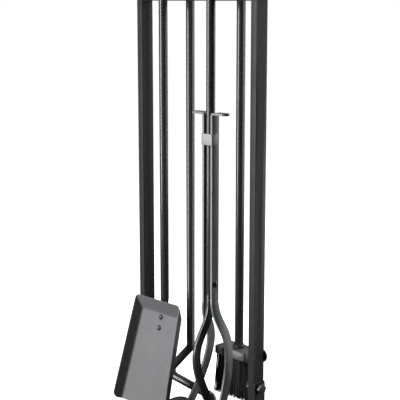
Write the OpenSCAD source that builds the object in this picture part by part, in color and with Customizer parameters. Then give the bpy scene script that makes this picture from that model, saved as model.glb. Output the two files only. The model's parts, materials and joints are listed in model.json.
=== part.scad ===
// Fireplace tool set: a tube frame on two feet, with a shovel, a poker, log tongs and a brush
// that hang by their loop handles on four wire hooks. X runs along the frame, -Y is the front
// and Z is up. The origin is on the floor, under the middle of the frame.

/* [Frame] */
// Width of the frame over its two posts
frame_w = 232; // [222:1:260]
// Height of the top bar's upper face
frame_h = 732; // [720:1:780]
// Narrow side of the frame tube, along X on a post and along Z on a bar
tube_w = 10; // [10:0.5:12]
// Wide side of the frame tube, along Y
tube_d = 20; // [18:1:24]
// Wall of the frame tube
tube_wall = 1.5; // [1:0.25:2]
// Height of the middle bar's underside
middle_bar_z = 623; // [560:1:640]
// Height of the lower bar's underside
lower_bar_z = 24; // [16:1:34]

/* [Base] */
// Length of a foot, front to back
foot_len = 164; // [140:2:220]
// Width of a foot bar
foot_w = 24; // [20:1:30]
// Thickness of a foot bar
foot_t = 8; // [6:1:10]
// Height of a rubber pad under a foot
pad_h = 6; // [4:1:10]
// Diameter of a rubber pad
pad_d = 20; // [14:1:22]
// Height of the top of the lug that holds a post
lug_top_z = 121; // [119:1:130]
// Thickness of the lug
lug_t = 2.5; // [2:0.5:4]
// Height of the foot bolt
bolt_z = 111; // [100:1:112]
// Thread diameter of the foot bolt
bolt_d = 8; // [6:1:8]
// Height of the connector bolt on the back of a post
connector_z = 153; // [140:1:160]
// Diameter of the connector bolt's flat head
connector_head_d = 18.5; // [12:0.5:19]

/* [Hooks and handles] */
// Diameter of a tool's rod
rod_d = 12; // [10:0.5:12.5]
// Distance of the two front rods from the frame's middle plane
front_y = 23; // [22:1:34]
// Distance of the two back rods from the frame's middle plane
back_y = 30; // [22:1:34]
// Distance of the front rods from the middle, along the frame
front_x = 46.5; // [42:0.5:52]
// Distance of the back rods from the middle, along the frame
back_x = 49.5; // [42:0.5:52]
// Wire diameter of a hook
hook_d = 6; // [5:0.5:7]
// Slope of a hook's tip above the floor, in degrees
hook_slope = 38; // [30:1:45]
// Length of a hook's sloping tip
hook_tip = 20; // [14:1:24]
// Height of a handle loop
handle_h = 96; // [80:1:100]
// Width of a handle loop
handle_w = 36; // [30:1:44]
// Wire diameter of a handle loop
handle_wire = 8; // [7:0.5:9]

/* [Shovel] */
// Width of the pan between its rims, at the back wall
pan_back_w = 93.5; // [80:0.5:100]
// Width of the pan between its rims, at the lip
pan_lip_w = 110.5; // [100:0.5:116]
// Length of the pan's rim
pan_len = 154; // [130:1:160]
// Depth of the pan
pan_depth = 14.5; // [12:0.5:20]
// Run of the sloping back wall, along the floor
pan_back_run = 18.5; // [16:0.5:28]
// Lean of the side walls away from square, in degrees
pan_flare = 22; // [10:1:30]
// Lean of the hanging pan away from upright, in degrees
pan_tilt = 15; // [12:1:18]
// Thickness of the pan's sheet steel
pan_sheet = 1.2; // [1:0.1:1.6]
// Height of the fold between the floor and the back wall
pan_fold_z = 186.5; // [176:0.5:190]

/* [Poker] */
// Height of the poker's upper bend
poker_bend_z = 123; // [110:1:140]
// Reach of the zigzag to each side of the rod
poker_reach = 52; // [40:1:54]
// Bend radius of the poker's rod
poker_bend_r = 9; // [8:0.5:10]

/* [Tongs] */
// Height of the pivot rivet
pivot_z = 247; // [240:1:260]
// Height of the finger tabs' upper face
arm_top_z = 479; // [430:1:500]
// Width of an arm, front to back
arm_w = 13; // [13:0.5:14]
// Thickness of an arm
arm_t = 3; // [2.5:0.5:3]
// Length of a finger tab beyond the arm
tab_len = 23; // [16:1:24]
// Height of the lower edge of the strap clip
clip_z = 436; // [400:1:440]
// Height of the strap clip
clip_h = 15; // [10:1:18]
// Height where the jaws start to spread
jaw_z = 219; // [215:1:225]
// Spread of a side jaw, in degrees
jaw_splay = 8.4; // [4:0.2:9]

/* [Brush] */
// Length of the brush block
block_l = 65; // [50:1:80]
// Depth of the brush block
block_w = 32; // [24:1:32]
// Thickness of the brush block
block_t = 12; // [10:1:16]
// Height of the underside of the brush block
block_z = 133.5; // [120:0.5:140]
// Length of the bristles
bristle_len = 57; // [36:1:60]

/* [Hidden] */
$fn = 48;
steel = "#2b2b2d";
satin = "#3a3a3d";
zinc = "#4a4a4e";
rubber = "#1a1a1b";
hair = "#121213";

post_x = frame_w / 2 - tube_w / 2;
post_in_x = frame_w / 2 - tube_w;
top_bar_z = frame_h - tube_w;
floor_top = pad_h + foot_t;
hole_gap = 0.05;
// How far two shapes of one piece run into each other
lap = 0.4;
bolt_head_h = 5.3;
bolt_flats = bolt_d * 13 / 8;
nut_h = 6.5;
nut_x = post_in_x - nut_h;
lug_x = frame_w / 2;
pad_y = foot_len / 2 - pad_d / 2 - 2;
pad_stem_d = 5;
pad_stem_h = 6;
tongue_gap = 0.1;
tongue_top = connector_z + 22;
connector_d = 6;
connector_head_t = 3;
connector_len = 15;
cap_t = 2;
cap_plug = 12;

// The hook's wire leaves the bar at its middle; a handle's inner arc rests on the wire
hook_z = frame_h - tube_w / 2;
hook_reach = 3.5;
hook_bend_r = 6;
bend_swell = 0.05;
rose_d = 9;
rose_t = 1.5;
seat_gap = 0.1;
handle_top = hook_z + hook_d / 2 + seat_gap + handle_wire;
handle_bottom = handle_top - handle_h;
handle_arc_r = (handle_w - handle_wire) / 2;
socket_d = 16;
socket_h = 14;
socket_bore = 12;
socket_z = handle_bottom + handle_wire - 2 - socket_h;
rod_top = socket_z + socket_bore;

tang_w = 12;
tang_t = 3;
tang_len = 30;
tang_lead = 6;
tang_start_z = 207;
fold_y = -front_y - 4.5;
pan_wall_run = pan_depth * tan(pan_flare);
pan_widen = (pan_lip_w - pan_back_w) / 2 / pan_len;
pan_floor_len = pan_len - pan_back_run;
pan_corner_r = 7;
pan_fold_r = 2.5;
rivet_d = 4;
rivet_head_d = 8;
rivet_head_h = 2;
rivet_at = [6, 21.5];
// Rounding of each side wall where it ends at the lip
pan_lip_r = 9;

poker_fall = 7.3;
poker_toe = 57;
poker_tip_drop = 34;
poker_point = 12;

arm_gap = rod_d / 2 + 0.3;
tab_bend_r = 2;
clip_t = 1.2;
clip_back = 3;
pivot_d = 5;
pivot_gap = 0.05;
pivot_head_d = 9;
pivot_head_h = 2.2;
jaw_start_z = 236;
jaw_t = 4;
jaw_w = 12;
jaw_steps = 14;

// Jaw curves as two cubic curves each: [depth below jaw_z, distance behind the rod]
middle_jaw = [[[0, 0], [30, 0], [42, -26], [72, -26]], [[72, -26], [100, -26], [136, -5], [164, 13]]];
side_jaw = [[[-1.5, 0], [26, 0], [36, 17.5], [62, 17.5]], [[62, 17.5], [92, 17.5], [132, 0], [166, -20]]];

collar_d = 15.5;
collar_h = 6;
stud_d = 6;
stud_h = 9;
block_edge = 2;
bristle_inset = 2;
bristle_splay = 5;

ring_gap = 0.05;
POSTS = ["left_post", "right_post"];
FEET = ["left_foot", "right_foot"];
TONGUES = ["left_tongue", "right_tongue"];
BOLTS = ["left_foot_bolt", "right_foot_bolt"];
NUTS = ["left_foot_nut", "right_foot_nut"];
CONNECTORS = ["left_connector_bolt", "right_connector_bolt"];
CAPS = ["left_end_cap", "right_end_cap"];
PADS = ["front_left_pad", "front_right_pad", "back_left_pad", "back_right_pad"];
HOOKS = ["shovel_hook", "tongs_hook", "poker_hook", "brush_hook"];
HANDLES = ["shovel_handle", "tongs_handle", "poker_handle", "brush_handle"];
ARMS = ["tongs_left_arm", "tongs_right_arm"];

// Where each tool hangs: [x, y], in the order of HOOKS
HANG = [[-front_x, -front_y], [front_x, -front_y], [-back_x, back_y], [back_x, back_y]];

function unit(v) = v / norm(v);
function heading(v) = atan2(v[1], v[0]);
function turn(u, v) = atan2(u[0] * v[1] - u[1] * v[0], u * v);
function cubic(p, t) = p[0] * pow(1 - t, 3) + p[1] * 3 * t * pow(1 - t, 2)
    + p[2] * 3 * t * t * (1 - t) + p[3] * pow(t, 3);
function cubic_slope(p, t) = unit((p[1] - p[0]) * pow(1 - t, 2) + (p[2] - p[1]) * 2 * t * (1 - t)
    + (p[3] - p[2]) * t * t);

// ---- shared shapes ----

module on_side(side) {
    if (side < 0) mirror([1, 0, 0]) children();
    else children();
}

// A round bar in the XZ plane through the points, with an arc at each inner point. The arcs are
// a hair thicker than the straight lengths, which run a little way into them.
module bent_bar(points, d, bend_r) {
    last = len(points) - 1;
    u = [for (i = [0 : last - 1]) unit(points[i + 1] - points[i])];
    turns = [for (i = [1 : last - 1]) turn(u[i - 1], u[i])];
    trim = [for (i = [0 : last]) i == 0 || i == last ? 0 : bend_r * tan(abs(turns[i - 1]) / 2)];
    rotate([90, 0, 0]) {
        for (i = [0 : last - 1]) {
            ends = [i == 0 ? 0 : lap, i == last - 1 ? 0 : lap];
            length = norm(points[i + 1] - points[i]) - trim[i] - trim[i + 1];
            translate(concat(points[i] + u[i] * (trim[i] - ends[0]), 0))
                rotate([0, 90, heading(u[i])]) cylinder(h = length + ends[0] + ends[1], d = d);
        }
        for (i = [1 : last - 1]) {
            side = sign(turns[i - 1]);
            start = points[i] - u[i - 1] * trim[i];
            middle = start + side * bend_r * [-u[i - 1][1], u[i - 1][0]];
            from = heading(u[i - 1]) - side * 90 - (side < 0 ? abs(turns[i - 1]) : 0);
            translate(concat(middle, 0))
                rotate([0, 0, from])
                    rotate_extrude(angle = abs(turns[i - 1]))
                        translate([bend_r, 0])
                            circle(d = d + 2 * bend_swell);
        }
    }
}

// The frame's tube along Z, centred on X and Y
module tube(length) {
    linear_extrude(length) difference() {
        square([tube_w, tube_d], center = true);
        square([tube_w - 2 * tube_wall, tube_d - 2 * tube_wall], center = true);
    }
}

// The frame's tube along X, centred, with its underside at z
module bar(length, z) {
    translate([-length / 2, 0, z + tube_w / 2]) rotate([0, 90, 0]) tube(length);
}

// A domed head on the XY plane
module dome(d, h) {
    r = (d * d / 4 + h * h) / (2 * h);
    intersection() {
        translate([0, 0, h - r]) sphere(r = r);
        cylinder(h = h, d = d);
    }
}

// A bore along X, through everything
module bore_x(z, d) {
    translate([0, 0, z]) rotate([0, 90, 0]) cylinder(h = frame_w, d = d);
}

// ---- frame ----

module post(side) {
    color(steel) on_side(side) difference() {
        translate([post_x, 0, floor_top]) tube(top_bar_z - floor_top);
        bore_x(bolt_z, bolt_d + 0.4);
        translate([post_x, tube_d / 4, connector_z]) rotate([-90, 0, 0])
            cylinder(h = tube_d, d = connector_d + 0.4);
    }
}

module top_bar() {
    color(steel) bar(frame_w, top_bar_z);
}

module middle_bar() {
    color(steel) bar(2 * post_in_x, middle_bar_z);
}

module lower_bar() {
    color(steel) bar(2 * post_in_x, lower_bar_z);
}

// Plug in an open end of the top bar, with a rounded face plate
module end_cap(side) {
    plug_w = tube_w - 2 * tube_wall - tongue_gap;
    plug_d = tube_d - 2 * tube_wall - tongue_gap;
    color(rubber) on_side(side) translate([frame_w / 2, 0, frame_h - tube_w / 2]) {
        translate([cap_t / 2, 0, 0]) cube([cap_t, tube_d - 1, tube_w - 1], center = true);
        translate([-cap_plug / 2, 0, 0]) cube([cap_plug, plug_d, plug_w], center = true);
    }
}

// ---- base ----

// Flat foot bar with round ends, and the welded lug that stands beside the post
module foot(side) {
    color(steel) on_side(side) difference() {
        union() {
            translate([lug_x, 0, pad_h]) linear_extrude(foot_t) {
                square([foot_w, foot_len - foot_w], center = true);
                for (end = [-1, 1]) translate([0, end * (foot_len - foot_w) / 2]) circle(d = foot_w);
            }
            translate([lug_x, 0, floor_top]) rotate([90, 0, 90]) linear_extrude(lug_t) {
                translate([-tube_d / 2, -1]) square([tube_d, lug_top_z - floor_top - 3]);
                translate([-tube_d / 2 + 4, 0]) square([tube_d - 8, lug_top_z - floor_top]);
                for (end = [-1, 1])
                    translate([end * (tube_d / 2 - 4), lug_top_z - floor_top - 4]) circle(r = 4);
            }
        }
        bore_x(bolt_z, bolt_d + 0.4);
        for (end = [-1, 1])
            translate([lug_x, end * pad_y, pad_h - 1])
                cylinder(h = pad_stem_h + 1, d = pad_stem_d + 2 * hole_gap);
    }
}

// Solid tongue on the foot that fills the post's lower end
module tongue(side) {
    size = [tube_w - 2 * tube_wall - 2 * tongue_gap, tube_d - 2 * tube_wall - 2 * tongue_gap];
    color(steel) on_side(side) difference() {
        translate([post_x, 0, floor_top]) linear_extrude(tongue_top - floor_top) square(size, center = true);
        bore_x(bolt_z, bolt_d + 0.4);
        translate([post_x, tube_d / 2 - connector_len - 1, connector_z])
            rotate([-90, 0, 0]) cylinder(h = connector_len + 1, d = connector_d + 2 * hole_gap);
    }
}

module foot_bolt(side) {
    color(zinc) on_side(side) translate([0, 0, bolt_z]) rotate([0, 90, 0]) {
        translate([0, 0, nut_x - 3]) cylinder(h = lug_x + lug_t - nut_x + 3, d = bolt_d);
        translate([0, 0, lug_x + lug_t]) rotate([0, 0, 30]) intersection() {
            cylinder(h = bolt_head_h, d = bolt_flats / cos(30), $fn = 6);
            translate([0, 0, -bolt_flats / 2])
                cylinder(h = 2 * bolt_flats, d1 = 3 * bolt_flats, d2 = bolt_flats * 0.2);
        }
    }
}

module foot_nut(side) {
    color(zinc) on_side(side) translate([nut_x, 0, bolt_z]) rotate([0, 90, 0]) difference() {
        rotate([0, 0, 30]) cylinder(h = nut_h, d = bolt_flats / cos(30), $fn = 6);
        translate([0, 0, -1]) cylinder(h = nut_h + 2, d = bolt_d + 2 * hole_gap);
    }
}

module connector_bolt(side) {
    color(steel) on_side(side) translate([post_x, tube_d / 2, connector_z]) rotate([-90, 0, 0]) {
        rotate_extrude()
            polygon([[0, 0], [connector_head_d / 2, 0], [connector_head_d / 2, connector_head_t - 0.8],
                [connector_head_d / 2 - 1.2, connector_head_t], [0, connector_head_t]]);
        translate([0, 0, -connector_len]) cylinder(h = connector_len, d = connector_d);
    }
}

// Rubber pad with a stem in the foot; the index counts front left, front right, back left, back right
module pad(index) {
    color(rubber) translate([(index % 2 * 2 - 1) * lug_x, (index < 2 ? -1 : 1) * pad_y, 0]) {
        rotate_extrude()
            polygon([[0, 0], [pad_d / 2 - 1.5, 0], [pad_d / 2, 1.5], [pad_d / 2 - 1, pad_h], [0, pad_h]]);
        cylinder(h = pad_h + pad_stem_h - 1, d = pad_stem_d);
    }
}

// ---- hooks, handles and rods ----

// Wire hook on the top bar, with a round rose where it is welded on
module hook(index) {
    out = abs(HANG[index][1]) + hook_reach - tube_d / 2;
    run = [cos(hook_slope), sin(hook_slope)] * hook_tip;
    color(steel) translate([HANG[index][0], sign(HANG[index][1]) * tube_d / 2, hook_z])
        rotate([0, 0, sign(HANG[index][1]) * 90]) {
            bent_bar([[0, 0], [out, 0], [out, 0] + run], hook_d, hook_bend_r);
            translate([out + run[0], 0, run[1]]) sphere(d = hook_d);
            rotate([0, 90, 0]) cylinder(h = rose_t, d1 = rose_d, d2 = hook_d + 1);
        }
}

// Stadium loop of wire, with a socket under it for the rod
module handle(index) {
    arc_z = [handle_bottom + handle_w / 2, handle_top - handle_w / 2];
    color(steel) translate([HANG[index][0], HANG[index][1], 0]) difference() {
        union() {
            for (end = [0, 1]) translate([0, 0, arc_z[end]]) rotate([90, end * 180 + 180, 0])
                rotate_extrude(angle = 180) translate([handle_arc_r, 0]) circle(d = handle_wire);
            for (side = [-1, 1]) translate([side * handle_arc_r, 0, arc_z[0]])
                cylinder(h = arc_z[1] - arc_z[0], d = handle_wire);
            translate([0, 0, socket_z]) cylinder(h = socket_h, d = socket_d);
        }
        translate([0, 0, socket_z - 1]) cylinder(h = socket_bore + 1, d = rod_d + 2 * ring_gap);
    }
}

module straight_rod(bottom_z) {
    translate([0, 0, bottom_z]) cylinder(h = rod_top - bottom_z, d = rod_d);
}

// ---- shovel ----

// Pan coordinates: origin at the fold, X across, Y down the floor, Z out of the floor to the front
module on_pan() {
    translate([-front_x, fold_y, pan_fold_z]) rotate([-90 - pan_tilt, 0, 0]) mirror([0, 0, 1]) children();
}

// Solid that fills the pan: in_by shrinks it all round, reach lengthens it at the lip and the rim
module pan_form(in_by, reach) {
    lip_y = pan_floor_len + reach;
    function half(y) = pan_back_w / 2 + (y + pan_back_run) * pan_widen - in_by;
    floor_half = half(0) - pan_wall_run;
    lip_half = half(lip_y) - pan_wall_run;
    rise = (pan_depth + reach) / pan_depth;
    hull() {
        for (side = [-1, 1]) {
            translate([side * (floor_half - pan_fold_r), pan_fold_r + in_by / 2, in_by])
                cylinder(h = 0.1, r = pan_fold_r, $fn = 32);
            translate([side * (lip_half - 0.5), lip_y - 0.5, in_by]) cylinder(h = 0.1, r = 0.5, $fn = 32);
            translate([side * (half(-pan_back_run * rise) + pan_wall_run * (rise - 1) - pan_corner_r),
                    pan_corner_r - pan_back_run * rise + in_by, pan_depth + reach - 0.1])
                cylinder(h = 0.1, r = pan_corner_r, $fn = 32);
            translate([side * (half(lip_y) + pan_wall_run * (rise - 1) - 0.5), lip_y - 0.5,
                    pan_depth + reach - 0.1])
                cylinder(h = 0.1, r = 0.5, $fn = 32);
        }
    }
}

module shovel_pan() {
    color(satin) on_pan() difference() {
        pan_form(0, 0);
        pan_form(pan_sheet, 5);
        for (y = rivet_at) translate([0, y, -1]) cylinder(h = 4, d = rivet_d + 2 * hole_gap);
        translate([-pan_lip_w, pan_floor_len - pan_lip_r, pan_depth - pan_lip_r]) rotate([90, 0, 90])
            linear_extrude(2 * pan_lip_w) difference() {
                square(pan_lip_r + 1);
                circle(r = pan_lip_r);
            }
    }
}

// Straight rod whose end is beaten flat behind the pan's floor
module shovel_rod() {
    color(steel) {
        translate([-front_x, -front_y, 0]) straight_rod(tang_start_z);
        hull() {
            translate([-front_x, -front_y, tang_start_z + lap]) cylinder(h = lap, d = rod_d - lap / 2);
            on_pan() translate([lap / 2 - tang_w / 2, -tang_lead, lap / 4 - tang_t])
                cube([tang_w - lap, lap, tang_t - lap / 2]);
        }
        on_pan() difference() {
            translate([0, 0, -tang_t]) linear_extrude(tang_t) {
                translate([-tang_w / 2, -tang_lead]) square([tang_w, tang_len + tang_lead - tang_w / 2]);
                translate([0, tang_len - tang_w / 2]) circle(d = tang_w);
            }
            for (y = rivet_at) translate([0, y, -tang_t - 1])
                cylinder(h = tang_t + 2, d = rivet_d + 2 * hole_gap);
        }
    }
}

module shovel_rivets() {
    color(satin) on_pan() for (y = rivet_at) translate([0, y, 0]) {
        translate([0, 0, pan_sheet]) dome(rivet_head_d, rivet_head_h);
        translate([0, 0, -tang_t]) cylinder(h = tang_t + pan_sheet, d = rivet_d);
        translate([0, 0, -tang_t]) mirror([0, 0, 1]) dome(rivet_head_d - 1, 1.5);
    }
}

// ---- poker ----

// Rod that zigzags to both sides at its lower end and ends in a point
module poker_rod() {
    kink = [-poker_reach, poker_bend_z - poker_reach];
    toe = [poker_toe, kink[1] - (poker_reach + poker_toe) * tan(poker_fall)];
    tip = toe - [1, 1] * poker_tip_drop;
    color(steel) translate([-back_x, back_y, 0]) {
        bent_bar([[0, rod_top], [0, poker_bend_z], kink, toe, tip], rod_d, poker_bend_r);
        translate([tip[0], 0, tip[1]]) rotate([0, -135, 0]) translate([0, 0, -lap])
            cylinder(h = poker_point + lap, d1 = rod_d - lap / 2, d2 = 2);
    }
}

// ---- tongs ----

// Strip of even width along a jaw curve, in [distance behind the rod, height] coordinates
module jaw_strip(curves, width) {
    rows = [for (c = [0 : len(curves) - 1]) for (i = [c == 0 ? 0 : 1 : jaw_steps])
        let (t = i / jaw_steps, p = cubic(curves[c], t), s = cubic_slope(curves[c], t))
        [p, [-s[1], s[0]] * width / 2]];
    last = len(rows) - 1;
    polygon(concat([for (i = [0 : last]) [rows[i][0][1] + rows[i][1][1], -rows[i][0][0] - rows[i][1][0]]],
        [for (i = [last : -1 : 0]) [rows[i][0][1] - rows[i][1][1], -rows[i][0][0] + rows[i][1][0]]]));
    translate([rows[last][0][1], -rows[last][0][0]]) circle(d = width);
}

// Rod with a round boss at the pivot and a flat lower end curved into the middle jaw
module tongs_rod() {
    color(steel) translate([front_x, -front_y, 0]) {
        difference() {
            straight_rod(jaw_start_z);
            translate([-rod_d, 0, pivot_z]) rotate([0, 90, 0])
                cylinder(h = 2 * rod_d, d = pivot_d + 2 * pivot_gap);
        }
        hull() {
            translate([0, 0, jaw_start_z + lap]) cylinder(h = lap, d = rod_d - lap / 2);
            translate([0, 0, jaw_start_z - 9.5]) cube([jaw_t - lap / 2, jaw_w - lap / 2, 1], center = true);
        }
        translate([-jaw_t / 2, -jaw_w / 2, jaw_z]) cube([jaw_t, jaw_w, jaw_start_z - 9 - jaw_z]);
        translate([-jaw_t / 2, 0, jaw_z]) rotate([90, 0, 90])
            linear_extrude(jaw_t) jaw_strip(middle_jaw, jaw_w);
    }
}

// Flat arm beside the rod: finger tab on top, pivot hole, and a side jaw that spreads outward
module tongs_arm(side) {
    bend_z = arm_top_z - arm_t - tab_bend_r;
    color(steel) translate([front_x, -front_y, 0]) on_side(side) translate([arm_gap, 0, 0]) {
        difference() {
            translate([0, -arm_w / 2, jaw_z]) cube([arm_t, arm_w, bend_z - jaw_z]);
            translate([-1, 0, pivot_z]) rotate([0, 90, 0]) cylinder(h = arm_t + 2, d = pivot_d);
        }
        translate([arm_t + tab_bend_r, 0, bend_z]) rotate([90, 0, 0]) linear_extrude(arm_w, center = true)
            intersection() {
                difference() {
                    circle(r = tab_bend_r + arm_t);
                    circle(r = tab_bend_r);
                }
                translate([-2 * arm_w, 0]) square(2 * arm_w);
            }
        translate([0, 0, arm_top_z - arm_t]) linear_extrude(arm_t) {
            translate([arm_t + tab_bend_r, -arm_w / 2]) square([tab_len - tab_bend_r - arm_w / 2, arm_w]);
            translate([arm_t + tab_len - arm_w / 2, 0]) circle(d = arm_w);
        }
        translate([lap, 0, jaw_z]) rotate([0, -jaw_splay, 0]) rotate([90, 0, 90])
            linear_extrude(arm_t) jaw_strip(side_jaw, arm_w + lap / 4);
    }
}

// Strap bent round the front of both arms
module tongs_clip() {
    outer = 2 * (arm_gap + arm_t + clip_t);
    depth = arm_w + clip_t - clip_back;
    front = -front_y - arm_w / 2 - clip_t;
    color(satin) translate([front_x, front, clip_z]) linear_extrude(clip_h) difference() {
        union() {
            translate([-outer / 2, clip_t]) square([outer, depth - clip_t]);
            translate([-outer / 2 + clip_t, 0]) square([outer - 2 * clip_t, clip_t + 1]);
            for (end = [-1, 1]) translate([end * (outer / 2 - clip_t), clip_t]) circle(r = clip_t);
        }
        translate([-outer / 2 + clip_t, clip_t]) square([outer - 2 * clip_t, depth]);
    }
}

module tongs_pivot() {
    half = arm_gap + arm_t;
    color(satin) translate([front_x, -front_y, pivot_z]) rotate([0, 90, 0]) {
        translate([0, 0, -half]) cylinder(h = 2 * half, d = pivot_d);
        for (end = [0, 1]) mirror([0, 0, end]) translate([0, 0, half]) dome(pivot_head_d, pivot_head_h);
    }
}

// ---- brush ----

module brush_rod() {
    color(steel) translate([back_x, back_y, 0]) {
        straight_rod(block_z + block_t);
        translate([0, 0, block_z + block_t - stud_h]) cylinder(h = stud_h, d = stud_d);
    }
}

module brush_collar() {
    color(steel) translate([back_x, back_y, block_z + block_t]) difference() {
        union() {
            cylinder(h = collar_h - 1.5, d = collar_d);
            translate([0, 0, collar_h - 1.5]) cylinder(h = 1.5, d1 = collar_d, d2 = collar_d - 3);
        }
        translate([0, 0, -1]) cylinder(h = collar_h + 2, d = rod_d + 2 * ring_gap);
    }
}

module brush_block() {
    edge = [block_l - 2 * block_edge, block_w - 2 * block_edge];
    color(satin) translate([back_x, back_y, block_z]) difference() {
        hull() {
            translate([0, 0, block_edge / 4]) linear_extrude(block_t - block_edge)
                offset(r = block_edge, $fn = 32) square(edge, center = true);
            linear_extrude(block_t) offset(r = block_edge / 2, $fn = 32) square(edge, center = true);
        }
        translate([0, 0, block_t - stud_h - 0.5]) cylinder(h = stud_h + 1, d = stud_d + 2 * hole_gap);
    }
}

// The bundle of bristles as one slightly spreading block
module bristles() {
    top = [block_l - 2 * bristle_inset, block_w - 2 * bristle_inset];
    bottom = top + [2 * bristle_splay, bristle_splay];
    color(hair) translate([back_x, back_y, block_z]) hull() {
        translate([0, 0, -0.1]) linear_extrude(0.1) square(top, center = true);
        translate([0, 0, -bristle_len]) linear_extrude(0.1) square(bottom, center = true);
    }
}

for (i = [0, 1]) {
    side = 2 * i - 1;
    post(side);
    foot(side);
    tongue(side);
    foot_bolt(side);
    foot_nut(side);
    connector_bolt(side);
    end_cap(side);
    tongs_arm(side);
}
for (i = [0 : 3]) {
    pad(i);
    hook(i);
    handle(i);
}
top_bar();
middle_bar();
lower_bar();
shovel_rod();
shovel_pan();
shovel_rivets();
poker_rod();
tongs_rod();
tongs_clip();
tongs_pivot();
brush_rod();
brush_collar();
brush_block();
bristles();
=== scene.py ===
"""Looks of the fireplace tool set: rounded steel, weld beads, a pressed pan, bristles, light and camera."""
import json
import math
import random

import bmesh
import bpy
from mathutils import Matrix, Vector

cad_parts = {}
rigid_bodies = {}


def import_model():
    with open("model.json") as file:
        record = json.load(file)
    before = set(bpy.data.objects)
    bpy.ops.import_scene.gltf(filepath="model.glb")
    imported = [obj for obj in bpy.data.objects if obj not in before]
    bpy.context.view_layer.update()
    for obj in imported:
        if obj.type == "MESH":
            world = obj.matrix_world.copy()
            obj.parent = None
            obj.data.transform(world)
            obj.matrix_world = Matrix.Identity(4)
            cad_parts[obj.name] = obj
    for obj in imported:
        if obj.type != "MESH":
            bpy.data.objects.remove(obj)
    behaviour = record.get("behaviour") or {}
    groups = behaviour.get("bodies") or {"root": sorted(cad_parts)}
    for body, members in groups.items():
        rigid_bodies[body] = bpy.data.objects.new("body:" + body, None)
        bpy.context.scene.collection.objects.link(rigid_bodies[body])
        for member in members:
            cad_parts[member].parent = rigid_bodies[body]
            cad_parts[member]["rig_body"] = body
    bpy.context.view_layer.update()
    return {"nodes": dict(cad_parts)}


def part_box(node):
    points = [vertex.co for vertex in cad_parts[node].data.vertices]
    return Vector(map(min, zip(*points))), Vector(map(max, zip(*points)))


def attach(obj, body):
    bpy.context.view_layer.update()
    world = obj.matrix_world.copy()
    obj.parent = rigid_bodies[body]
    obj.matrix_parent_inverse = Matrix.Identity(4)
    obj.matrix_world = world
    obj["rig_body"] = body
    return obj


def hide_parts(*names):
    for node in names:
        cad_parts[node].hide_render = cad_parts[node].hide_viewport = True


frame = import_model()
scene = bpy.context.scene
MM = 0.001

# ---------------------------------------------------------------- camera, light and stage

EYE_AZIMUTH = math.radians(46.55)
EYE_DISTANCE = 1.485
EYE_HEIGHT = 0.625
EYE_PITCH = math.radians(10.4)
EYE_TURN = math.radians(46.5)
LENS = 98.5
LIGHT_AIM_HEIGHT = 0.35


def place_camera():
    """The viewer stands to the front right, at about the height of the handles, and looks down a little."""
    data = bpy.data.cameras.new("camera")
    data.lens = LENS
    camera = bpy.data.objects.new("camera", data)
    out = Vector((math.sin(EYE_AZIMUTH), -math.cos(EYE_AZIMUTH), 0))
    camera.location = out * EYE_DISTANCE + Vector((0, 0, EYE_HEIGHT))
    look = Vector((-math.sin(EYE_TURN), math.cos(EYE_TURN), -math.tan(EYE_PITCH)))
    camera.rotation_euler = look.to_track_quat("-Z", "Y").to_euler()
    scene.collection.objects.link(camera)
    scene.camera = camera


def softbox(name, bearing, distance, height, size, power):
    """An area light at a bearing from +X, counter-clockwise from above, aimed at the object's middle."""
    data = bpy.data.lights.new(name, "AREA")
    data.shape = "RECTANGLE"
    data.size, data.size_y = size
    data.energy = power
    light = bpy.data.objects.new(name, data)
    angle = math.radians(bearing)
    light.location = Vector((math.cos(angle) * distance, math.sin(angle) * distance, height))
    aim = Vector((0, 0, LIGHT_AIM_HEIGHT)) - light.location
    light.rotation_euler = aim.to_track_quat("-Z", "Y").to_euler()
    light.visible_camera = False
    scene.collection.objects.link(light)


def light_studio():
    """White behind the object, a dim room in reflections, and soft lights to both sides and above."""
    world = bpy.data.worlds.new("studio")
    scene.world = world
    world.use_nodes = True
    tree = world.node_tree
    tree.nodes.clear()
    seen = tree.nodes.new("ShaderNodeBackground")
    seen.inputs["Color"].default_value = (1, 1, 1, 1)
    seen.inputs["Strength"].default_value = 1.0
    room = tree.nodes.new("ShaderNodeBackground")
    room.inputs["Color"].default_value = (1, 1, 1, 1)
    room.inputs["Strength"].default_value = 0.035
    path = tree.nodes.new("ShaderNodeLightPath")
    mix = tree.nodes.new("ShaderNodeMixShader")
    out = tree.nodes.new("ShaderNodeOutputWorld")
    tree.links.new(path.outputs["Is Camera Ray"], mix.inputs[0])
    tree.links.new(room.outputs[0], mix.inputs[1])
    tree.links.new(seen.outputs[0], mix.inputs[2])
    tree.links.new(mix.outputs[0], out.inputs["Surface"])
    softbox("left_box", -116, 1.1, 0.5, (0.42, 1.2), 25)
    softbox("right_strip", 26, 1.1, 0.5, (0.22, 1.2), 6)
    softbox("side_box", 68, 1.5, 0.6, (0.7, 1.5), 13)
    softbox("top_box", 110, 0.9, 2.4, (1.2, 1.2), 30)
    scene.view_settings.view_transform = "Standard"


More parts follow.
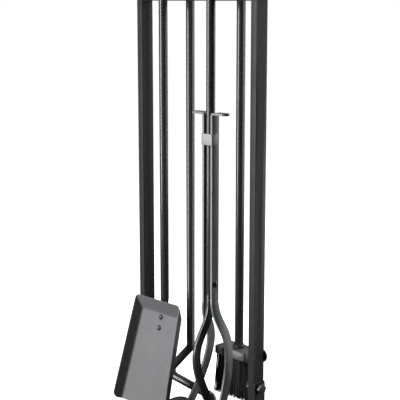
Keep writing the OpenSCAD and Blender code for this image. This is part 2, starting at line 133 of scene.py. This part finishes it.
def lay_floor():
    """A floor that the camera sees as white studio paper, and that stays dim in reflections."""
    bpy.ops.mesh.primitive_plane_add(size=60)
    floor = bpy.context.active_object
    floor.name = "floor"
    mat, tree, shader = new_material("floor_paint")
    shader.inputs["Base Color"].default_value = (0.8, 0.8, 0.79, 1)
    shader.inputs["Roughness"].default_value = 0.9
    glow = add(tree, "ShaderNodeEmission", Strength=0.98)
    dim = add(tree, "ShaderNodeBsdfDiffuse")
    dim.inputs["Color"].default_value = (0.08, 0.08, 0.08, 1)
    path = tree.nodes.new("ShaderNodeLightPath")
    both = tree.nodes.new("ShaderNodeAddShader")
    pick = tree.nodes.new("ShaderNodeMixShader")
    tree.links.new(shader.outputs[0], both.inputs[0])
    tree.links.new(glow.outputs[0], both.inputs[1])
    tree.links.new(path.outputs["Is Camera Ray"], pick.inputs[0])
    tree.links.new(dim.outputs[0], pick.inputs[1])
    tree.links.new(both.outputs[0], pick.inputs[2])
    tree.links.new(pick.outputs[0], tree.nodes["Material Output"].inputs["Surface"])
    floor.data.materials.append(mat)


# ---------------------------------------------------------------- materials


def new_material(name):
    """A material with its node tree and its Principled shader."""
    mat = bpy.data.materials.new(name)
    mat.use_nodes = True
    tree = mat.node_tree
    return mat, tree, tree.nodes["Principled BSDF"]


def add(tree, kind, **values):
    """A new node; values set its sockets by name, with spaces as underscores."""
    node = tree.nodes.new(kind)
    for key, value in values.items():
        node.inputs[key.replace("_", " ")].default_value = value
    return node


def noise(tree, scale, detail=2.0, stretch=(1, 1, 1)):
    """Noise in the piece's own space; a smaller stretch makes it longer along that axis."""
    coords = tree.nodes.new("ShaderNodeTexCoord")
    mapping = tree.nodes.new("ShaderNodeMapping")
    mapping.inputs["Scale"].default_value = stretch
    texture = add(tree, "ShaderNodeTexNoise", Scale=scale, Detail=detail, Roughness=0.6)
    tree.links.new(coords.outputs["Object"], mapping.inputs["Vector"])
    tree.links.new(mapping.outputs["Vector"], texture.inputs["Vector"])
    return texture.outputs["Fac"]


def spread(tree, value, low, high, start=0.3, end=0.7):
    """Maps a value from start..end to low..high."""
    node = tree.nodes.new("ShaderNodeMapRange")
    for socket, number in zip(("From Min", "From Max", "To Min", "To Max"), (start, end, low, high)):
        node.inputs[socket].default_value = number
    tree.links.new(value, node.inputs["Value"])
    return node.outputs["Result"]


def blend_colors(tree, factor, dark, light):
    """Mixes two colours, each a plain colour or another node's output."""
    node = tree.nodes.new("ShaderNodeMix")
    node.data_type = "RGBA"
    for socket, colour in ((node.inputs[6], dark), (node.inputs[7], light)):
        if isinstance(colour, bpy.types.NodeSocket):
            tree.links.new(colour, socket)
        else:
            socket.default_value = (*colour, 1)
    tree.links.new(factor, node.inputs[0])
    return node.outputs[2]


def highlight_edge_mask(tree, radius):
    """0 on open faces, rising to 1 along sharp edges, where a paler colour is painted on as a highlight."""
    bevel = add(tree, "ShaderNodeBevel", Radius=radius)
    bevel.samples = 6
    geometry = tree.nodes.new("ShaderNodeNewGeometry")
    dot = tree.nodes.new("ShaderNodeVectorMath")
    dot.operation = "DOT_PRODUCT"
    tree.links.new(bevel.outputs[0], dot.inputs[0])
    tree.links.new(geometry.outputs["Normal"], dot.inputs[1])
    return spread(tree, dot.outputs["Value"], 1.0, 0.0, start=0.7, end=0.92)


def coat(name, dark, light, rough, grain=900, depth=0.000018, edge_highlight=(0.11, 0.11, 0.115), edge=0.0009,
         shine=0.5):
    """Baked powder coat on steel: cloudy colour, orange-peel grain, and paler edges in patches that are a
    painted highlight.
    """
    mat, tree, shader = new_material(name)
    cloud = blend_colors(tree, spread(tree, noise(tree, 14, 3), 0, 1), dark, light)
    speck = spread(tree, noise(tree, 420, 1), 0, 1, start=0.66, end=0.8)
    # Painted highlight: a paler colour laid along sharp edges in patches, standing in for light caught by
    # rounded edges.
    painted_edge_highlight = tree.nodes.new("ShaderNodeMath")
    painted_edge_highlight.operation = "MULTIPLY"
    tree.links.new(highlight_edge_mask(tree, edge), painted_edge_highlight.inputs[0])
    tree.links.new(spread(tree, noise(tree, 60, 2), 0.25, 1, start=0.35, end=0.65), painted_edge_highlight.inputs[1])
    flecked = blend_colors(tree, speck, cloud, tuple(c * 1.2 for c in light))
    tree.links.new(blend_colors(tree, painted_edge_highlight.outputs[0], flecked, edge_highlight), shader.inputs["Base Color"])
    tree.links.new(spread(tree, noise(tree, 45, 2), rough - 0.04, rough + 0.06), shader.inputs["Roughness"])
    shader.inputs["Specular IOR Level"].default_value = shine
    bump = add(tree, "ShaderNodeBump", Strength=0.5, Distance=depth)
    tree.links.new(noise(tree, grain, 2), bump.inputs["Height"])
    tree.links.new(bump.outputs[0], shader.inputs["Normal"])
    return mat


def brushed_coat(name):
    """The pan's coat, with faint scratches along the floor from ash and grit, and a pale painted highlight
    along its edges and rim.
    """
    # The pale edge colour here paints a bright highlight line along the rim.
    mat = coat(name, (0.1, 0.1, 0.103), (0.12, 0.12, 0.124), 0.55, grain=1100, depth=0.00002,
               edge_highlight=(0.45, 0.45, 0.455), edge=0.0008)
    tree = mat.node_tree
    shader = tree.nodes["Principled BSDF"]
    scratch = noise(tree, 300, 2, stretch=(1, 0.05, 0.05))
    fine = add(tree, "ShaderNodeBump", Strength=0.25, Distance=0.00003)
    tree.links.new(scratch, fine.inputs["Height"])
    old = shader.inputs["Normal"].links[0].from_socket
    tree.links.new(old, fine.inputs["Normal"])
    tree.links.new(fine.outputs[0], shader.inputs["Normal"])
    return mat


def black_oxide(name):
    """Bolts and rivets: dark, a little metallic and glossier than the coat, with a painted highlight along
    their edges.
    """
    mat, tree, shader = new_material(name)
    cloud = spread(tree, noise(tree, 130, 3), 0, 1)
    shade = blend_colors(tree, cloud, (0.03, 0.03, 0.032), (0.06, 0.06, 0.062))
    # Painted highlight: a paler colour laid along sharp edges.
    bright = blend_colors(tree, highlight_edge_mask(tree, 0.0006), shade, (0.17, 0.17, 0.175))
    tree.links.new(bright, shader.inputs["Base Color"])
    shader.inputs["Metallic"].default_value = 0.35
    tree.links.new(spread(tree, noise(tree, 220, 2), 0.28, 0.42), shader.inputs["Roughness"])
    bump = add(tree, "ShaderNodeBump", Strength=0.3, Distance=0.00005)
    tree.links.new(noise(tree, 700, 2), bump.inputs["Height"])
    tree.links.new(bump.outputs[0], shader.inputs["Normal"])
    return mat


def moulded(name, colour, rough, grain):
    """Moulded plastic or rubber with a fine matt texture."""
    mat, tree, shader = new_material(name)
    lighter = tuple(c * 1.6 for c in colour)
    tree.links.new(blend_colors(tree, spread(tree, noise(tree, 80, 3), 0, 1), colour, lighter),
                   shader.inputs["Base Color"])
    tree.links.new(spread(tree, noise(tree, 150, 2), rough - 0.05, rough + 0.08), shader.inputs["Roughness"])
    bump = add(tree, "ShaderNodeBump", Strength=0.45, Distance=0.00008)
    tree.links.new(noise(tree, grain, 3), bump.inputs["Height"])
    tree.links.new(bump.outputs[0], shader.inputs["Normal"])
    return mat


def hair(name):
    """Stiff black fibre: each strand has its own shade and a soft shine."""
    mat, tree, shader = new_material(name)
    geometry = tree.nodes.new("ShaderNodeNewGeometry")
    strand = geometry.outputs["Random Per Island"]
    shade = blend_colors(tree, strand, (0.004, 0.004, 0.0045), (0.022, 0.021, 0.021))
    along = spread(tree, noise(tree, 500, 2, stretch=(1, 1, 0.08)), 0.0, 0.6)
    tree.links.new(blend_colors(tree, along, shade, (0.012, 0.012, 0.012)), shader.inputs["Base Color"])
    tree.links.new(spread(tree, noise(tree, 250, 1), 0.42, 0.6), shader.inputs["Roughness"])
    shader.inputs["Sheen Weight"].default_value = 0.1
    return mat


# ---------------------------------------------------------------- mesh helpers


def mesh_piece(name, verts, faces, mat, body, replaced=()):
    """One piece from points and faces."""
    mesh = bpy.data.meshes.new(name)
    mesh.from_pydata([tuple(v) for v in verts], [], faces)
    return finish_piece(name, mesh, mat, body, replaced)


def finish_piece(name, mesh, mat, body, replaced=(), sharp=34):
    """Shades, paints and attaches a mesh as one piece."""
    mesh.validate()
    for face in mesh.polygons:
        face.use_smooth = True
    mesh.set_sharp_from_angle(angle=math.radians(sharp))
    mesh.materials.clear()
    mesh.materials.append(mat)
    piece = bpy.data.objects.new(name, mesh)
    scene.collection.objects.link(piece)
    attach(piece, body)
    if replaced:
        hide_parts(*replaced)
    return piece


def softened(node, mat, width, segments=2, shortest=0.0):
    """A copy of a CAD node with its sharp edges rounded. Only edges longer than shortest are rounded."""
    source = frame["nodes"][node]
    mesh = source.data.copy()
    bm = bmesh.new()
    bm.from_mesh(mesh)
    bmesh.ops.remove_doubles(bm, verts=bm.verts, dist=0.000002)
    bmesh.ops.dissolve_limit(bm, angle_limit=math.radians(0.5), verts=bm.verts, edges=bm.edges)
    edges = [e for e in bm.edges if e.is_manifold and e.calc_length() > shortest
             and abs(e.calc_face_angle(0)) > math.radians(38)]
    if edges and width > 0:
        bmesh.ops.bevel(bm, geom=edges, offset=width, segments=segments, profile=0.5, affect="EDGES",
                        clamp_overlap=True)
    bmesh.ops.triangulate(bm, faces=[f for f in bm.faces if len(f.verts) > 4])
    bm.to_mesh(mesh)
    bm.free()
    return finish_piece(node + "_skin", mesh, mat, source["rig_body"], (node,))


def rings_to_faces(count, sides, closed=False):
    """Faces of a tube whose rings follow each other; the ends are capped unless it is closed."""
    faces = []
    for r in range(count if closed else count - 1):
        a, b = r * sides, (r + 1) % count * sides
        for s in range(sides):
            t = (s + 1) % sides
            faces.append((a + s, a + t, b + t, b + s))
    if not closed:
        faces.append(tuple(range(sides - 1, -1, -1)))
        faces.append(tuple((count - 1) * sides + s for s in range(sides)))
    return faces


def bead(name, path, radius, mat, body, closed=False, sides=8):
    """A weld bead along a path: a rippled tube, with tapered ends unless it is closed."""
    verts = []
    count = len(path)
    for i, point in enumerate(path):
        before = path[(i - 1) % count] if closed or i > 0 else point
        after = path[(i + 1) % count] if closed or i < count - 1 else point
        along = (after - before).normalized()
        upright = abs(along.z) > 0.9
        side = (along.orthogonal() if upright else along.cross(Vector((0, 0, 1)))).normalized()
        up = side.cross(along)
        reach = 1.0 if closed else min(1.0, 0.35 + 0.65 * min(i, count - 1 - i) / 3)
        r = radius * reach * (1 + 0.13 * math.sin(i * 2.1))
        for s in range(sides):
            angle = 2 * math.pi * s / sides
            verts.append(point + (side * math.cos(angle) + up * math.sin(angle)) * r)
    return mesh_piece(name, verts, rings_to_faces(count, sides, closed), mat, body)


def line(start, end, step=0.0007):
    """Evenly spaced points from start to end."""
    start, end = Vector(start), Vector(end)
    count = max(4, int((end - start).length / step))
    return [start.lerp(end, i / count) for i in range(count + 1)]


def circle(center, radius, normal, steps):
    """Evenly spaced points round a circle."""
    normal = Vector(normal).normalized()
    u = normal.orthogonal().normalized()
    v = normal.cross(u)
    return [Vector(center) + (u * math.cos(a) + v * math.sin(a)) * radius
            for a in (2 * math.pi * i / steps for i in range(steps))]


# ---------------------------------------------------------------- the stand

BAR_WELD = 1.5 * MM
LUG_WELD = 1.4 * MM
HOOK_WELD = 0.9 * MM
HOOK_WELD_RING = 4.3 * MM
LUG_SETBACK = 2.5 * MM
THREAD_RADIUS = 4.0 * MM
THREAD_PITCH = 1.25 * MM
THREAD_CREST = 0.32 * MM
THREAD_STEPS = 30


def build_frame(mat):
    """Tubes, feet, tongues and hooks of the stand, with the edges of all but the hooks rounded."""
    for node in ("left_post", "right_post", "top_bar", "middle_bar", "lower_bar"):
        softened(node, mat, 1.3 * MM, segments=3, shortest=0.05)
    for node in ("left_foot", "right_foot"):
        softened(node, mat, 0.8 * MM)
    for node in ("left_tongue", "right_tongue"):
        softened(node, mat, 0.3 * MM)
    for node in ("shovel_hook", "tongs_hook", "poker_hook", "brush_hook"):
        softened(node, mat, 0)


def build_welds(mat):
    """Beads where the bars meet the posts, where the feet meet their lugs, and round each hook's root."""
    inset = 1.2 * MM
    for name in ("middle_bar", "lower_bar"):
        low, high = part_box(name)
        for side, x in (("left", low.x), ("right", high.x)):
            for level, z in (("under", low.z), ("over", high.z)):
                path = line((x, low.y + inset, z), (x, high.y - inset, z))
                bead(f"weld_{name}_{side}_{level}", path, BAR_WELD, mat, "stand")
    for side in ("left", "right"):
        low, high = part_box(f"{side}_post")
        inner = high.x if side == "left" else low.x
        bead(f"weld_top_{side}", line((inner, low.y + inset, high.z), (inner, high.y - inset, high.z)),
             BAR_WELD, mat, "stand")
        bead(f"weld_base_{side}", line((inner, low.y + inset, low.z), (inner, high.y - inset, low.z)),
             BAR_WELD, mat, "stand")
        head_x = high.x + LUG_SETBACK if side == "right" else low.x - LUG_SETBACK
        bead(f"weld_lug_{side}", line((head_x, low.y + inset, low.z), (head_x, high.y - inset, low.z)),
             LUG_WELD, mat, "stand")
    bar_low, bar_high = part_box("top_bar")
    wire_z = (bar_low.z + bar_high.z) / 2
    for hook in ("shovel_hook", "tongs_hook", "poker_hook", "brush_hook"):
        low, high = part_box(hook)
        face = bar_low.y if low.y < 0 else bar_high.y
        center = ((low.x + high.x) / 2, face, wire_z)
        ring = circle(center, HOOK_WELD_RING, (0, 1, 0), 42)
        bead(f"weld_{hook}", ring, HOOK_WELD, mat, "stand", closed=True)


def build_fixings(bolt_mat, cap_mat, pad_mat):
    """Bolts, nuts, end caps and pads."""
    for side in ("left", "right"):
        softened(f"{side}_foot_bolt", bolt_mat, 0.5 * MM)
        softened(f"{side}_foot_nut", bolt_mat, 0.5 * MM)
        softened(f"{side}_connector_bolt", bolt_mat, 0.4 * MM)
        softened(f"{side}_end_cap", cap_mat, 0.7 * MM)
        bolt_thread(side, bolt_mat)
    for node in ("front_left_pad", "front_right_pad", "back_left_pad", "back_right_pad"):
        softened(node, pad_mat, 0.5 * MM)


def bolt_thread(side, mat):
    """Thread crests on the bolt's end, past the nut."""
    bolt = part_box(f"{side}_foot_bolt")
    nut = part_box(f"{side}_foot_nut")
    z = (nut[0].z + nut[1].z) / 2
    end, start = (bolt[1].x, nut[1].x) if side == "left" else (bolt[0].x, nut[0].x)
    turns = abs(end - start) / THREAD_PITCH - 0.35
    steps = int(turns * THREAD_STEPS)
    path = []
    for i in range(steps + 1):
        angle = i * math.pi / (THREAD_STEPS / 2)
        path.append(Vector((start + (end - start) * (0.12 + 0.8 * i / steps),
                            THREAD_RADIUS * math.cos(angle), z + THREAD_RADIUS * math.sin(angle))))
    piece = bead(f"{side}_bolt_thread", path, THREAD_CREST, mat, "stand", sides=5)


# ---------------------------------------------------------------- the tools


SOCKET_H = 14 * MM
SOCKET_R = 8 * MM


def build_rods(mat, strip_mat, clip_mat):
    """Rods, tong arms, clip, collar and handles, with a weld on top of each handle's socket."""
    for node in ("shovel_rod", "poker_rod", "brush_rod"):
        softened(node, mat, 0.4 * MM)
    softened("tongs_rod", mat, 1.0 * MM, segments=3)
    for node in ("tongs_left_arm", "tongs_right_arm"):
        # The arms take the lighter strip coat, whose tone is painted light.
        softened(node, strip_mat, 0.9 * MM, segments=3)
    softened("tongs_clip", clip_mat, 0.3 * MM)
    softened("brush_collar", mat, 0.5 * MM)
    for tool in ("shovel", "poker", "tongs", "brush"):
        softened(f"{tool}_handle", mat, 0.5 * MM)
        low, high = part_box(f"{tool}_handle")
        root = Vector(((low.x + high.x) / 2, (low.y + high.y) / 2, low.z + SOCKET_H))
        bead(f"{tool}_handle_weld", circle(root, SOCKET_R - 0.5 * MM, (0, 0, 1), 52), 1.0 * MM, mat, tool,
             closed=True)


PAN_TILT = math.radians(15)
PAN_FLARE = math.tan(math.radians(22))
PAN_SHEET = 1.2 * MM
PAN_DEPTH = 14.5 * MM
PAN_BACK_RUN = 18.5 * MM
PAN_LIP_Y = 154 * MM - PAN_BACK_RUN
PAN_BACK_HALF = 46.75 * MM
PAN_LIP_HALF = 55.25 * MM
PAN_SIDE_FOLD = 5 * MM
PAN_BACK_FOLD = 2.2 * MM
PAN_CORNER = 7 * MM
PAN_LIP_R = 9 * MM
PAN_FOLD = Vector((0, -27.5 * MM, 186.5 * MM))


def pan_floor(y):
    """Height of the pan's middle line over its floor plane: back wall, round fold, then flat floor."""
    slope = PAN_DEPTH / PAN_BACK_RUN
    if y <= -PAN_BACK_FOLD:
        return -y * slope
    if y >= PAN_BACK_FOLD:
        return 0.0
    return slope * (PAN_BACK_FOLD - y) ** 2 / (4 * PAN_BACK_FOLD)


def pan_rim_half(y):
    """Half of the width between the rims, rounded in at the back corners."""
    into = y + PAN_BACK_RUN
    half = PAN_BACK_HALF + (PAN_LIP_HALF - PAN_BACK_HALF) * into / (PAN_LIP_Y + PAN_BACK_RUN)
    if into < PAN_CORNER:
        half -= PAN_CORNER - math.sqrt(max(0.0, PAN_CORNER ** 2 - (PAN_CORNER - into) ** 2))
    return half


def pan_wall_top(y):
    """Height of the side walls, which round down to the lip."""
    past = y - (PAN_LIP_Y - PAN_LIP_R)
    if past <= 0:
        return PAN_DEPTH
    return PAN_DEPTH - PAN_LIP_R + math.sqrt(max(0.0, PAN_LIP_R ** 2 - past ** 2))


def pan_section(y):
    """Half of the pan's cross-section from the middle out, as (x, height) points."""
    floor, top = pan_floor(y), pan_wall_top(y)
    rim = pan_rim_half(y)
    foot = rim - (PAN_DEPTH - floor) * PAN_FLARE
    turn = math.pi / 2 - math.atan(PAN_FLARE)
    room = (top - floor) / math.sin(turn) / math.tan(turn / 2)
    r = min(PAN_SIDE_FOLD, 0.8 * room)
    cut = r * math.tan(turn / 2)
    points = [((foot - cut) * i / 8, floor) for i in range(9)]
    for i in range(1, 9):
        a = turn * i / 8
        points.append((foot - cut + r * math.sin(a), floor + r * (1 - math.cos(a))))
    x, z = points[-1]
    end_x = rim - (PAN_DEPTH - top) * PAN_FLARE
    points += [(x + (end_x - x) * i / 4, z + (top - z) * i / 4) for i in range(1, 5)]
    return points


def build_pan(mat):
    """The pan as one pressed sheet: floor, flared sides and sloping back, with rounded folds."""
    low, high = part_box("shovel_pan")
    start = 0.15 * MM - PAN_BACK_RUN
    corner_end = PAN_CORNER - PAN_BACK_RUN
    lip_start = PAN_LIP_Y - PAN_LIP_R
    stations = [start + (corner_end - start) * (1 - math.cos(math.pi / 2 * i / 8)) for i in range(9)]
    stations += [corner_end + (-PAN_BACK_FOLD - corner_end) * i / 4 for i in range(1, 5)]
    stations += [PAN_BACK_FOLD * (i / 4 - 1) for i in range(1, 9)]
    stations += [PAN_BACK_FOLD + (lip_start - PAN_BACK_FOLD) * i / 10 for i in range(1, 11)]
    stations += [lip_start + PAN_LIP_R * math.sin(math.pi / 2 * i / 10) for i in range(1, 11)]
    origin = Vector(((low.x + high.x) / 2, 0, 0)) + PAN_FOLD
    down = Vector((0, -math.sin(PAN_TILT), -math.cos(PAN_TILT)))
    out = Vector((0, -math.cos(PAN_TILT), math.sin(PAN_TILT)))
    verts, faces = [], []
    for y in stations:
        half = pan_section(y)
        row = [(-x, h) for x, h in reversed(half[1:])] + half
        verts += [origin + Vector((x, 0, 0)) + down * y + out * h for x, h in row]
    width = len(verts) // len(stations)
    for i in range(len(stations) - 1):
        for j in range(width - 1):
            a = i * width + j
            faces.append((a, a + width, a + width + 1, a + 1))
    mesh = bpy.data.meshes.new("shovel_pan_sheet")
    mesh.from_pydata([tuple(v) for v in verts], [], faces)
    piece = finish_piece("shovel_pan_sheet", mesh, mat, "shovel", ("shovel_pan",), sharp=50)
    thicken(piece, PAN_SHEET, out)


def thicken(piece, thickness, front):
    """Gives an open sheet its thickness towards the front, and rounds the cut edge."""
    mesh = piece.data
    mesh.update()
    facing = sum((p.normal * p.area for p in mesh.polygons), Vector())
    solid = piece.modifiers.new("sheet", "SOLIDIFY")
    solid.thickness = thickness
    solid.offset = 1 if facing.dot(front) > 0 else -1
    solid.use_even_offset = True
    edge = piece.modifiers.new("edge", "BEVEL")
    edge.width = thickness * 0.3
    edge.segments = 2
    edge.limit_method = "ANGLE"
    edge.angle_limit = math.radians(60)
    apply_modifiers(piece)


def apply_modifiers(piece):
    """Turns the modifiers' result into the piece's own mesh."""
    depsgraph = bpy.context.evaluated_depsgraph_get()
    mesh = bpy.data.meshes.new_from_object(piece.evaluated_get(depsgraph))
    piece.modifiers.clear()
    piece.data = mesh
    for face in mesh.polygons:
        face.use_smooth = True
    mesh.set_sharp_from_angle(angle=math.radians(50))


BRISTLE_HALF = (31.5 * MM, 15 * MM)
BRISTLE_INSET = 1.2 * MM
TIP_INSET = 0.6 * MM


def build_bristles(mat):
    """Tufts of fine strands round a dense core, all inside the brush's own space."""
    rng = random.Random(7)
    low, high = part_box("bristles")
    block_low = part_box("brush_block")[0]
    middle = Vector(((low.x + high.x) / 2, (low.y + high.y) / 2, 0))
    root_half = (BRISTLE_HALF[0] - BRISTLE_INSET, BRISTLE_HALF[1] - BRISTLE_INSET)
    tip_half = ((high.x - low.x) / 2 - TIP_INSET, (high.y - low.y) / 2 - TIP_INSET)
    root_z, tip_z = block_low.z - 0.05 * MM, low.z
    verts, faces = [], []

    def strand(u, v, thick, short):
        """One strand at the share u, v of the bundle's width and depth, from -1 to 1."""
        root = middle + Vector((u * root_half[0], v * root_half[1], root_z))
        lean_u = max(-1, min(1, u + rng.gauss(0, 0.03)))
        lean_v = max(-1, min(1, v + rng.gauss(0, 0.06)))
        tip = middle + Vector((lean_u * tip_half[0], lean_v * tip_half[1], tip_z + short))
        bow = Vector((rng.gauss(0, 0.5), rng.gauss(0, 0.35), 0)) * MM
        spin = rng.random() * math.pi
        base = len(verts)
        for i in range(5):
            t = i / 4
            point = root.lerp(tip, t) + bow * math.sin(math.pi * t)
            point.x = min(max(point.x, low.x + thick), high.x - thick)
            point.y = min(max(point.y, low.y + thick), high.y - thick)
            r = thick * (1 - 0.35 * t * t)
            for s in range(4):
                a = spin + math.pi / 2 * s
                verts.append(point + Vector((math.cos(a) * r, math.sin(a) * r, 0)))
        faces.extend(tuple(base + k for k in f) for f in rings_to_faces(5, 4))

    columns, rows = 26, 11
    for i in range(columns):
        for j in range(rows):
            edge = i in (0, columns - 1) or j in (0, rows - 1)
            for _ in range(9 if edge else 4):
                u = (2 * (i + 0.5) / columns - 1) + rng.gauss(0, 0.012)
                v = (2 * (j + 0.5) / rows - 1) + rng.gauss(0, 0.03)
                strand(max(-1, min(1, u)), max(-1, min(1, v)), rng.uniform(0.28, 0.4) * MM,
                       rng.uniform(0.0, 1.6) * MM)
    mesh_piece("bristle_strands", verts, faces, mat, "brush", ("bristles",))

    core_verts = []
    rings, sides = 7, 72
    for k in range(rings):
        t = k / (rings - 1) * 0.93
        half = [root_half[i] * (1 - t) + tip_half[i] * t - 1.5 * MM for i in (0, 1)]
        z = root_z * (1 - t) + tip_z * t
        for s in range(sides):
            a = 2 * math.pi * s / sides
            c, d = math.cos(a), math.sin(a)
            x = half[0] * math.copysign(abs(c) ** 0.25, c)
            y = half[1] * math.copysign(abs(d) ** 0.25, d)
            ripple = 1 - 0.02 * (s % 2)
            core_verts.append(middle + Vector((x * ripple, y * ripple, z)))
    mesh_piece("bristle_core", core_verts, rings_to_faces(rings, sides), mat, "brush")


def build_brush(mat, hair_mat):
    """The block and what grows from it."""
    softened("brush_block", mat, 0.4 * MM)
    build_bristles(hair_mat)


# ---------------------------------------------------------------- everything

place_camera()
light_studio()
lay_floor()
# The paler edge colour given to each coat is a painted highlight along its sharp edges.
frame_mat = coat("frame_coat", (0.023, 0.023, 0.024), (0.029, 0.029, 0.03), 0.4,
                 edge_highlight=(0.16, 0.16, 0.165), shine=0.12)
rod_mat = coat("rod_coat", (0.028, 0.028, 0.029), (0.036, 0.036, 0.037), 0.27, depth=0.000008)
# The tong arms' coat is a much lighter copy of the black coat, so that their side faces read as lit: painted
# light.
strip_mat = coat("strip_coat", (0.15, 0.15, 0.152), (0.18, 0.18, 0.183), 0.4, edge_highlight=(0.3, 0.3, 0.3))
clip_mat = coat("clip_coat", (0.24, 0.24, 0.238), (0.3, 0.3, 0.298), 0.42)
# The brush block's coat is lighter than the frame's so that its top reads as lit: painted light.
block_mat = coat("block_coat", (0.085, 0.085, 0.087), (0.11, 0.11, 0.113), 0.42, edge_highlight=(0.26, 0.26, 0.26))
pan_mat = brushed_coat("pan_coat")
bolt_mat = black_oxide("black_bolt")
cap_mat = moulded("cap_plastic", (0.014, 0.014, 0.015), 0.5, 900)
pad_mat = moulded("pad_rubber", (0.012, 0.012, 0.012), 0.75, 600)
hair_mat = hair("bristle_fibre")

build_frame(frame_mat)
build_welds(frame_mat)
build_fixings(bolt_mat, cap_mat, pad_mat)
build_rods(rod_mat, strip_mat, clip_mat)
build_pan(pan_mat)
softened("shovel_rivets", bolt_mat, 0.2 * MM)
softened("tongs_pivot", bolt_mat, 0.2 * MM)
build_brush(block_mat, hair_mat)
